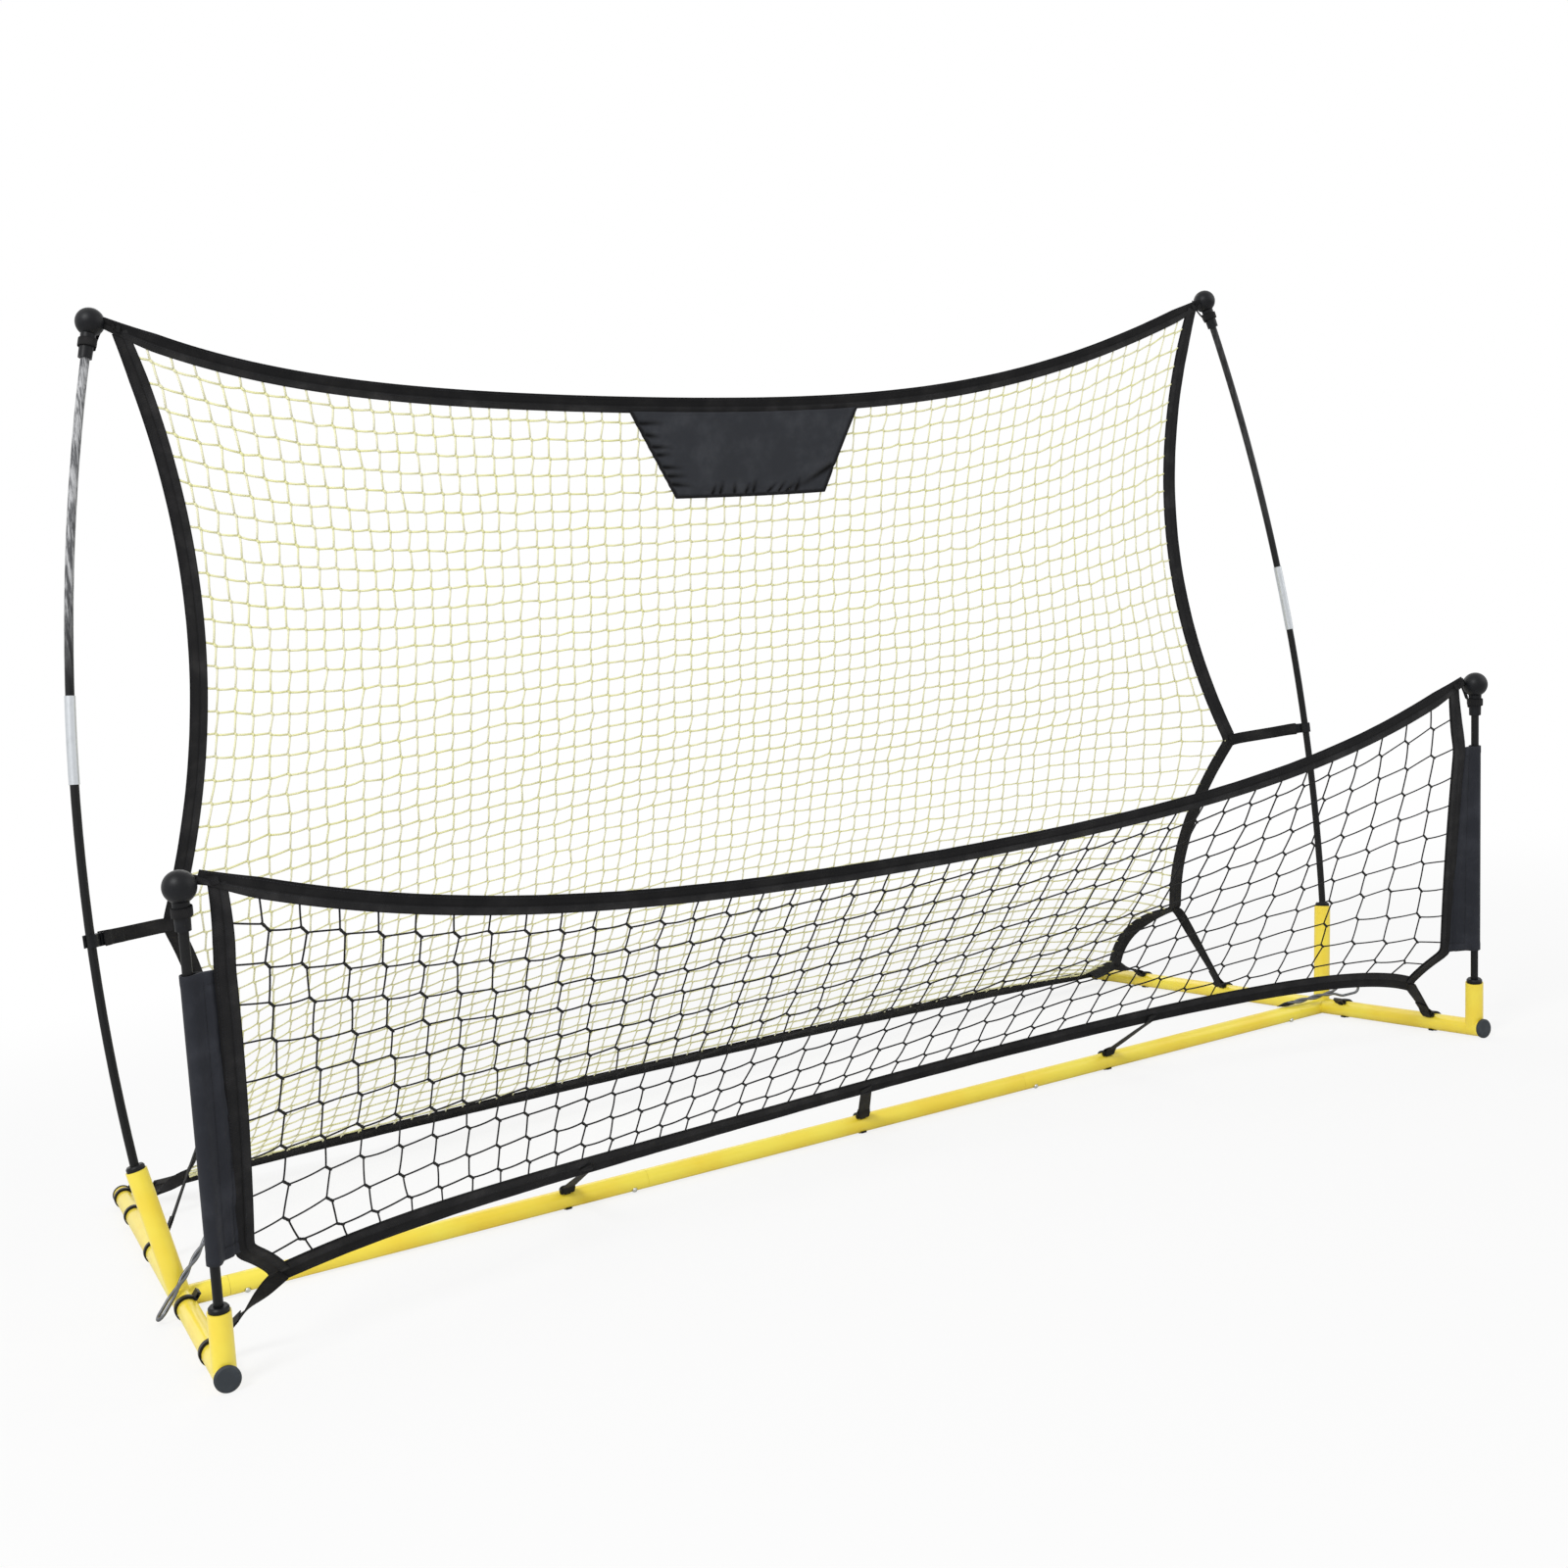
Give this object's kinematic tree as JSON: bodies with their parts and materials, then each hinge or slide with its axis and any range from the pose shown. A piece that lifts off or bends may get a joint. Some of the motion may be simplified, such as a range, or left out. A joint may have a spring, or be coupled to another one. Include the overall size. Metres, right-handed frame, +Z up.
{
  "type": "pitch back rebounder",
  "caption": "Two-sided ball rebounder: yellow steel base, tall bowed poles with a large net, and a low leaning net on short poles.",
  "frame": {"origin": "middle of the footprint, on the ground", "axes": "+X to the right along the cross tube, seen from the front; +Y to the back, away from the low front net; +Z up"},
  "size_m": [1.9072, 1.0268, 1.1899],
  "materials": {
    "yellow_steel": "gloss",
    "black_plastic": "satin",
    "cap_plastic": "matt",
    "fibreglass": "satin",
    "webbing": "woven",
    "sleeve_cloth": "woven",
    "patch_cloth": "woven",
    "pale_cord": "twisted",
    "dark_cord": "twisted",
    "plated_steel": "plated"
  },
  "bodies": {
    "rebounder": {"left_skid": "yellow_steel", "right_skid": "yellow_steel", "cross_tube_left": "yellow_steel", "cross_tube_middle": "yellow_steel", "cross_tube_right": "yellow_steel", "left_front_cap": "cap_plastic", "right_front_cap": "cap_plastic", "left_rear_cap": "cap_plastic", "right_rear_cap": "cap_plastic", "left_tall_bush": "black_plastic", "right_tall_bush": "black_plastic", "left_short_bush": "black_plastic", "right_short_bush": "black_plastic", "left_lower_pole": "fibreglass", "right_lower_pole": "fibreglass", "left_upper_pole": "fibreglass", "right_upper_pole": "fibreglass", "left_ferrule": "plated_steel", "right_ferrule": "plated_steel", "left_tall_ball": "black_plastic", "right_tall_ball": "black_plastic", "big_net": "pale_cord", "big_net_top_hem": "webbing", "big_net_left_hem": "webbing", "big_net_right_hem": "webbing", "big_net_bottom_hem": "webbing", "centre_patch": "patch_cloth", "front_net": "dark_cord", "front_net_top_hem": "webbing", "front_net_left_hem": "webbing", "front_net_right_hem": "webbing", "front_net_bottom_hem": "webbing", "left_sleeve": "sleeve_cloth", "right_sleeve": "sleeve_cloth", "tall_corner_loops": "webbing", "short_corner_loops": "webbing", "left_pole_clip": "black_plastic", "right_pole_clip": "black_plastic", "left_straps": "webbing", "right_straps": "webbing", "front_straps": "webbing", "left_skid_hooks": "black_plastic", "right_skid_hooks": "black_plastic", "cross_tube_hooks": "black_plastic"},
    "left_front_pole": {"left_short_pole": "fibreglass", "left_short_ball": "black_plastic"},
    "right_front_pole": {"right_short_pole": "fibreglass", "right_short_ball": "black_plastic"},
    "left_peg": {"left_stake": "plated_steel"},
    "right_peg": {"right_stake": "plated_steel"},
    "left_tee_snap": {"left_tee_button": "plated_steel"},
    "left_seam_snap": {"left_seam_button": "plated_steel"},
    "right_seam_snap": {"right_seam_button": "plated_steel"},
    "right_tee_snap": {"right_tee_button": "plated_steel"}
  },
  "joints": [
    {"name": "left_pole_lift", "type": "slide", "parent": "rebounder", "child": "left_front_pole", "axis": [0.0276, -0.1564, 0.9873], "range_m": [0, 0.055]},
    {"name": "right_pole_lift", "type": "slide", "parent": "rebounder", "child": "right_front_pole", "axis": [-0.0276, -0.1564, 0.9873], "range_m": [0, 0.055]},
    {"name": "left_peg_lift", "type": "slide", "parent": "rebounder", "child": "left_peg", "axis": [0, -0.6, 0.8], "range_m": [0, 0.05]},
    {"name": "right_peg_pull", "type": "slide", "parent": "rebounder", "child": "right_peg", "axis": [0.9357, -0.3406, 0.0924], "range_m": [0, 0.05]},
    {"name": "left_tee_press", "type": "slide", "parent": "rebounder", "child": "left_tee_snap", "axis": [0, 0.7071, 0.7071], "range_m": [0, 0.0024], "stiffness_N_per_m": 400},
    {"name": "left_seam_press", "type": "slide", "parent": "rebounder", "child": "left_seam_snap", "axis": [0, 0.7071, 0.7071], "range_m": [0, 0.0024], "stiffness_N_per_m": 400},
    {"name": "right_seam_press", "type": "slide", "parent": "rebounder", "child": "right_seam_snap", "axis": [0, 0.7071, 0.7071], "range_m": [0, 0.0024], "stiffness_N_per_m": 400},
    {"name": "right_tee_press", "type": "slide", "parent": "rebounder", "child": "right_tee_snap", "axis": [0, 0.7071, 0.7071], "range_m": [0, 0.0024], "stiffness_N_per_m": 400}
  ]
}
